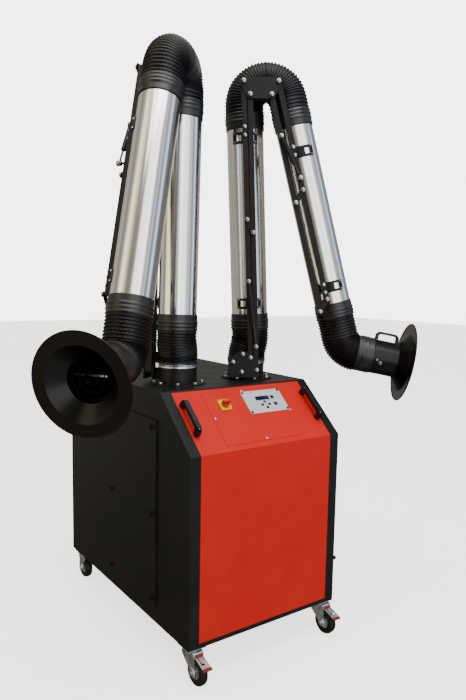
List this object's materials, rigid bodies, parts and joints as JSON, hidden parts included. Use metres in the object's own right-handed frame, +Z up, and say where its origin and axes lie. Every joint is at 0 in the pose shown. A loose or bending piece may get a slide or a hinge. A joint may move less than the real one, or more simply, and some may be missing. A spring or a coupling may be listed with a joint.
{
  "type": "mobile fume extractor",
  "caption": "Mobile welding fume extractor: wheeled filter cabinet with a sloping control panel and balanced extraction arms ending in flanged hoods.",
  "frame": {"origin": "on the floor under the middle of the cabinet", "axes": "+Z up, the operating front faces -Y, +X to the right of someone who stands before the front and faces it"},
  "size_m": [1.6545, 1.2446, 2.3058],
  "materials": {
    "black_coat": "satin powder coat",
    "red_coat": "satin powder coat",
    "grey_plate": "matte membrane",
    "screen": "clear window over a dark display",
    "yellow_plate": "matte",
    "red_knob": "gloss",
    "black_plastic": "matte",
    "zinc": "zinc plated",
    "tyre": "matte rubber on a grey hub",
    "media": "pleated filter paper",
    "fan_steel": "grey coat",
    "bare_aluminium": "polished",
    "hose": "matte ribbed hose",
    "rod_chrome": "polished",
    "wire": "bright wire"
  },
  "bodies": {
    "cabinet": {"cabinet_body": "black_coat", "front_panel": "red_coat", "control_cover": "red_coat", "control_plate": "grey_plate", "display_window": "screen", "switch_base": "yellow_plate", "front_handles": "black_plastic", "arm_flanges": "black_coat", "caster_mounts": "zinc", "filter_cartridge": "media", "fan_unit": "fan_steel"},
    "switch_knob": {"switch_knob": "red_knob"},
    "service_panel": {"service_panel": "black_coat"},
    "impeller": {"impeller": "fan_steel"},
    "left_caster": {"left_front_fork": "zinc"},
    "left_front_wheel": {"left_front_wheel": "tyre"},
    "left_brake_pedal": {"left_brake_pedal": "zinc"},
    "left_rear_wheel": {"left_rear_wheel": "tyre"},
    "right_caster": {"right_front_fork": "zinc"},
    "right_front_wheel": {"right_front_wheel": "tyre"},
    "right_brake_pedal": {"right_brake_pedal": "zinc"},
    "right_rear_wheel": {"right_rear_wheel": "tyre"},
    "left_turret": {"left_collar": "black_coat", "left_base_hose": "hose"},
    "left_lower_arm": {"left_lower_bar": "black_coat", "left_lower_tube": "bare_aluminium"},
    "left_lower_link": {"left_lower_link": "black_coat"},
    "left_lower_mid_link": {"left_lower_mid_link": "black_coat"},
    "left_lower_gas_rod": {"left_lower_gas_rod": "rod_chrome"},
    "left_elbow": {"left_elbow_plates": "black_coat", "left_elbow_hose": "hose"},
    "left_forearm": {"left_forearm_bar": "black_coat", "left_forearm_tube": "bare_aluminium", "left_hood_hose": "hose"},
    "left_forearm_link": {"left_forearm_link": "black_coat"},
    "left_forearm_mid_link": {"left_forearm_mid_link": "black_coat"},
    "left_forearm_gas_rod": {"left_forearm_gas_rod": "rod_chrome"},
    "left_end_link": {"left_end_link": "black_coat"},
    "left_hood": {"left_hood": "black_coat", "left_hood_handle": "black_plastic", "left_hood_guard": "wire"},
    "right_turret": {"right_collar": "black_coat", "right_base_hose": "hose"},
    "right_lower_arm": {"right_lower_bar": "black_coat", "right_lower_tube": "bare_aluminium"},
    "right_lower_link": {"right_lower_link": "black_coat"},
    "right_lower_mid_link": {"right_lower_mid_link": "black_coat"},
    "right_lower_gas_rod": {"right_lower_gas_rod": "rod_chrome"},
    "right_elbow": {"right_elbow_plates": "black_coat", "right_elbow_hose": "hose"},
    "right_forearm": {"right_forearm_bar": "black_coat", "right_forearm_tube": "bare_aluminium", "right_hood_hose": "hose"},
    "right_forearm_link": {"right_forearm_link": "black_coat"},
    "right_forearm_mid_link": {"right_forearm_mid_link": "black_coat"},
    "right_forearm_gas_rod": {"right_forearm_gas_rod": "rod_chrome"},
    "right_end_link": {"right_end_link": "black_coat"},
    "right_hood": {"right_hood": "black_coat", "right_hood_handle": "black_plastic", "right_hood_guard": "wire"}
  },
  "joints": [
    {"name": "switch_turn", "type": "hinge", "parent": "cabinet", "child": "switch_knob", "pos_m": [-0.108, -0.38623, 0.95717], "axis": [0, 0.6641, -0.7476], "range_deg": [0, 90]},
    {"name": "service_panel_pull", "type": "slide", "parent": "cabinet", "child": "service_panel", "axis": [-1, 0, 0], "range_m": [0, 0.15]},
    {"name": "fan_spin", "type": "hinge", "parent": "cabinet", "child": "impeller", "pos_m": [0, 0.31, 0.3], "axis": [0, 0, 1], "continuous": true},
    {"name": "left_caster_swivel", "type": "hinge", "parent": "cabinet", "child": "left_caster", "pos_m": [-0.308, -0.495, 0.11], "axis": [0, 0, 1], "continuous": true},
    {"name": "left_front_wheel_roll", "type": "hinge", "parent": "left_caster", "child": "left_front_wheel", "pos_m": [-0.308, -0.537, 0.05], "axis": [1, 0, 0], "continuous": true},
    {"name": "left_pedal_press", "type": "hinge", "parent": "left_caster", "child": "left_brake_pedal", "pos_m": [-0.308, -0.531, 0.111], "axis": [1, 0, 0], "range_deg": [0, 8]},
    {"name": "left_rear_wheel_roll", "type": "hinge", "parent": "cabinet", "child": "left_rear_wheel", "pos_m": [-0.308, 0.47, 0.05], "axis": [1, 0, 0], "continuous": true},
    {"name": "right_caster_swivel", "type": "hinge", "parent": "cabinet", "child": "right_caster", "pos_m": [0.308, -0.495, 0.11], "axis": [0, 0, 1], "continuous": true},
    {"name": "right_front_wheel_roll", "type": "hinge", "parent": "right_caster", "child": "right_front_wheel", "pos_m": [0.308, -0.537, 0.05], "axis": [1, 0, 0], "continuous": true},
    {"name": "right_pedal_press", "type": "hinge", "parent": "right_caster", "child": "right_brake_pedal", "pos_m": [0.308, -0.531, 0.111], "axis": [1, 0, 0], "range_deg": [0, 8]},
    {"name": "right_rear_wheel_roll", "type": "hinge", "parent": "cabinet", "child": "right_rear_wheel", "pos_m": [0.308, 0.47, 0.05], "axis": [1, 0, 0], "continuous": true},
    {"name": "left_swivel", "type": "hinge", "parent": "cabinet", "child": "left_turret", "pos_m": [-0.168, -0.147, 1.056], "axis": [0, 0, 1], "range_deg": [-80, 45]},
    {"name": "left_shoulder", "type": "hinge", "parent": "left_turret", "child": "left_lower_arm", "pos_m": [-0.24493, -0.0733, 1.113], "axis": [0.5948, -0.8039, 0], "range_deg": [-2, 50], "deforming": ["left_base_hose"]},
    {"name": "left_lower_link_swing", "type": "hinge", "parent": "left_turret", "child": "left_lower_link", "pos_m": [-0.26583, -0.08877, 1.063], "axis": [0.5948, -0.8039, 0], "range_deg": [-2.5, 50.5]},
    {"name": "left_lower_mid_swing", "type": "hinge", "parent": "left_lower_arm", "child": "left_lower_mid_link", "pos_m": [-0.2248, -0.05841, 1.66425], "axis": [0.5948, -0.8039, 0], "range_deg": [-50.5, 2.5]},
    {"name": "left_elbow_level", "type": "hinge", "parent": "left_lower_arm", "child": "left_elbow", "pos_m": [-0.20547, -0.04411, 2.19389], "axis": [0.5948, -0.8039, 0], "range_deg": [-50.5, 2.5]},
    {"name": "left_elbow", "type": "hinge", "parent": "left_elbow", "child": "left_forearm", "pos_m": [-0.31479, -0.125, 2.19389], "axis": [-0.5948, 0.8039, 0], "range_deg": [-1, 82], "deforming": ["left_elbow_hose"]},
    {"name": "left_forearm_link_swing", "type": "hinge", "parent": "left_elbow", "child": "left_forearm_link", "pos_m": [-0.2939, -0.10954, 2.14389], "axis": [-0.5948, 0.8039, 0], "range_deg": [-1.5, 82.5]},
    {"name": "left_forearm_mid_swing", "type": "hinge", "parent": "left_forearm", "child": "left_forearm_mid_link", "pos_m": [-0.41566, -0.19964, 1.78852], "axis": [-0.5948, 0.8039, 0], "range_deg": [-82.5, 1.5]},
    {"name": "left_end_link_swing", "type": "hinge", "parent": "left_forearm", "child": "left_end_link", "pos_m": [-0.52065, -0.27733, 1.36661], "axis": [-0.5948, 0.8039, 0], "range_deg": [-82.5, 1.5]},
    {"name": "left_hood_tilt", "type": "hinge", "parent": "left_forearm", "child": "left_hood", "pos_m": [-0.5372, -0.42019, 1.15732], "axis": [-0.5948, 0.8039, 0], "range_deg": [-30, 30], "deforming": ["left_hood_hose"]},
    {"name": "left_lower_rod_slide", "type": "slide", "parent": "left_lower_arm", "child": "left_lower_gas_rod", "axis": [-0.1086, -0.0804, -0.9908], "range_m": [-0.03145, 0.00222]},
    {"name": "left_forearm_rod_slide", "type": "slide", "parent": "left_forearm_link", "child": "left_forearm_gas_rod", "axis": [-0.4015, -0.2971, -0.8663], "range_m": [-0.00189, 0.07431]},
    {"name": "right_swivel", "type": "hinge", "parent": "cabinet", "child": "right_turret", "pos_m": [0.168, -0.147, 1.056], "axis": [0, 0, 1], "range_deg": [-45, 80]},
    {"name": "right_shoulder", "type": "hinge", "parent": "right_turret", "child": "right_lower_arm", "pos_m": [0.11952, -0.24186, 1.113], "axis": [0.599, 0.8007, 0], "range_deg": [-2, 50], "deforming": ["right_base_hose"]},
    {"name": "right_lower_link_swing", "type": "hinge", "parent": "right_turret", "child": "right_lower_link", "pos_m": [0.14033, -0.25743, 1.063], "axis": [0.599, 0.8007, 0], "range_deg": [-2.5, 50.5]},
    {"name": "right_lower_mid_swing", "type": "hinge", "parent": "right_lower_arm", "child": "right_lower_mid_link", "pos_m": [0.09947, -0.22686, 1.66425], "axis": [0.599, 0.8007, 0], "range_deg": [-50.5, 2.5]},
    {"name": "right_elbow_level", "type": "hinge", "parent": "right_lower_arm", "child": "right_elbow", "pos_m": [0.08021, -0.21246, 2.19389], "axis": [0.599, 0.8007, 0], "range_deg": [-50.5, 2.5]},
    {"name": "right_elbow", "type": "hinge", "parent": "right_elbow", "child": "right_forearm", "pos_m": [0.18911, -0.29392, 2.19389], "axis": [-0.599, -0.8007, 0], "range_deg": [-1, 82], "deforming": ["right_elbow_hose"]},
    {"name": "right_forearm_link_swing", "type": "hinge", "parent": "right_elbow", "child": "right_forearm_link", "pos_m": [0.16829, -0.27835, 2.14389], "axis": [-0.599, -0.8007, 0], "range_deg": [-1.5, 82.5]},
    {"name": "right_forearm_mid_swing", "type": "hinge", "parent": "right_forearm", "child": "right_forearm_mid_link", "pos_m": [0.27361, -0.35714, 1.78288], "axis": [-0.599, -0.8007, 0], "range_deg": [-82.5, 1.5]},
    {"name": "right_end_link_swing", "type": "hinge", "parent": "right_forearm", "child": "right_end_link", "pos_m": [0.36156, -0.42293, 1.35509], "axis": [-0.599, -0.8007, 0], "range_deg": [-82.5, 1.5]},
    {"name": "right_hood_tilt", "type": "hinge", "parent": "right_forearm", "child": "right_hood", "pos_m": [0.49488, -0.39154, 1.14125], "axis": [-0.599, -0.8007, 0], "range_deg": [-30, 30], "deforming": ["right_hood_hose"]},
    {"name": "right_lower_rod_slide", "type": "slide", "parent": "right_lower_arm", "child": "right_lower_gas_rod", "axis": [0.1082, -0.081, -0.9908], "range_m": [-0.03145, 0.00222]},
    {"name": "right_forearm_rod_slide", "type": "slide", "parent": "right_forearm_link", "child": "right_forearm_gas_rod", "axis": [0.3593, -0.2688, -0.8936], "range_m": [-0.0019, 0.07463]}
  ],
  "couplings": [
    {"joint": "left_lower_link_swing", "follows": "left_shoulder", "ratio": 1},
    {"joint": "left_lower_mid_swing", "follows": "left_shoulder", "ratio": -1},
    {"joint": "left_elbow_level", "follows": "left_shoulder", "ratio": -1},
    {"joint": "left_forearm_link_swing", "follows": "left_elbow", "ratio": 1},
    {"joint": "left_forearm_mid_swing", "follows": "left_elbow", "ratio": -1},
    {"joint": "left_end_link_swing", "follows": "left_elbow", "ratio": -1},
    {"joint": "left_lower_rod_slide", "follows": "left_shoulder", "m_per_rad": -0.034891},
    {"joint": "left_forearm_rod_slide", "follows": "left_elbow", "m_per_rad": 0.051222},
    {"joint": "right_lower_link_swing", "follows": "right_shoulder", "ratio": 1},
    {"joint": "right_lower_mid_swing", "follows": "right_shoulder", "ratio": -1},
    {"joint": "right_elbow_level", "follows": "right_shoulder", "ratio": -1},
    {"joint": "right_forearm_link_swing", "follows": "right_elbow", "ratio": 1},
    {"joint": "right_forearm_mid_swing", "follows": "right_elbow", "ratio": -1},
    {"joint": "right_end_link_swing", "follows": "right_elbow", "ratio": -1},
    {"joint": "right_lower_rod_slide", "follows": "right_shoulder", "m_per_rad": -0.034891},
    {"joint": "right_forearm_rod_slide", "follows": "right_elbow", "m_per_rad": 0.051447}
  ]
}
